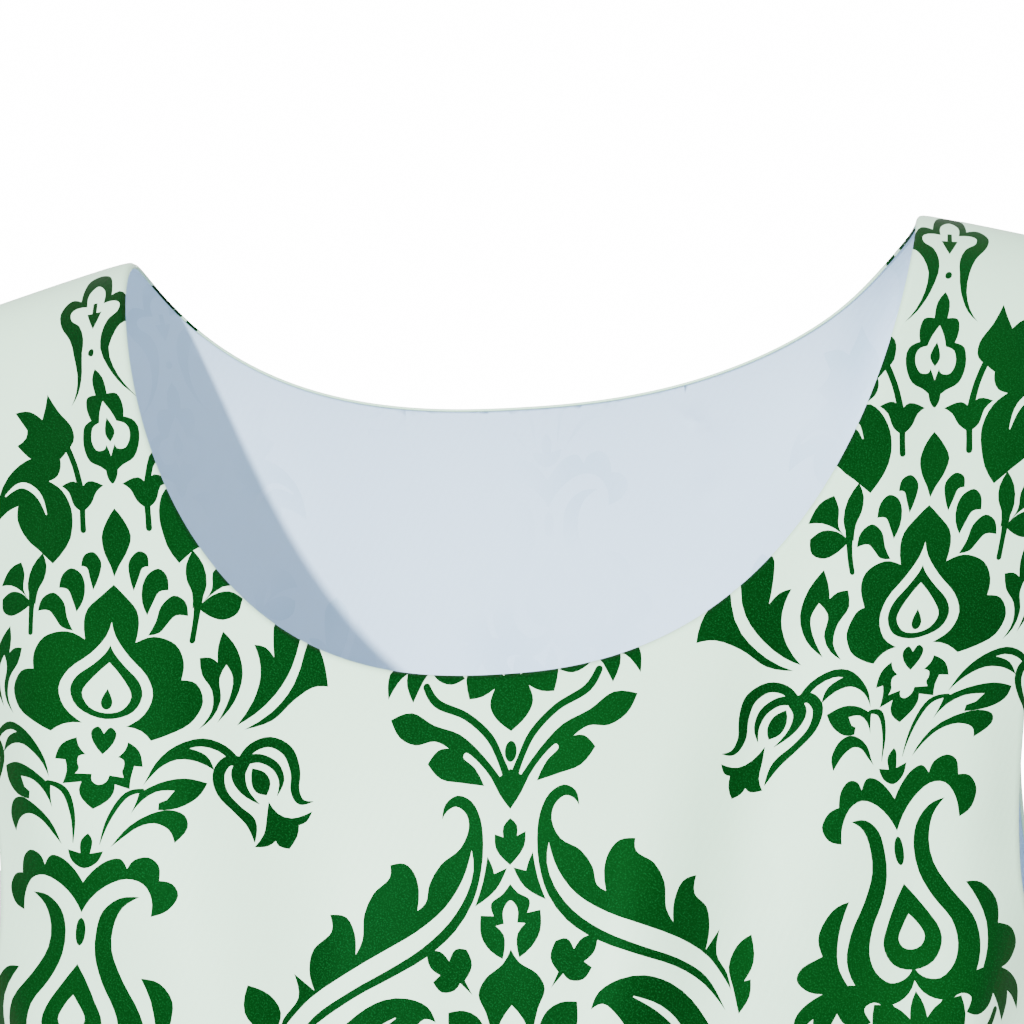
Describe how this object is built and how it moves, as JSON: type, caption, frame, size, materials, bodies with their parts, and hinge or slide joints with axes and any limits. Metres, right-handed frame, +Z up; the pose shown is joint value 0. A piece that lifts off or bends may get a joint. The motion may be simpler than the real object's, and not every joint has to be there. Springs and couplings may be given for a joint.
{
  "type": "sleeveless floral dress",
  "caption": "Knee-length sleeveless A-line dress with a scoop neck, printed with a green damask pattern, filled out and hollow.",
  "frame": {"origin": "midway between the two points where the shoulder seams meet the neck, at their height, where the wearer's shoulders hold the dress", "axes": "+Z up from hem to shoulders, the dress faces -Y, and its left side is at +X"},
  "size_m": [0.5218, 0.4097, 0.9603],
  "materials": {
    "printed_cloth": "satin twill, green damask print on white, plain wrong side",
    "sewing_thread": "spun thread, matt"
  },
  "bodies": {
    "root": {"front": "printed_cloth", "back": "printed_cloth"}
  },
  "joints": []
}
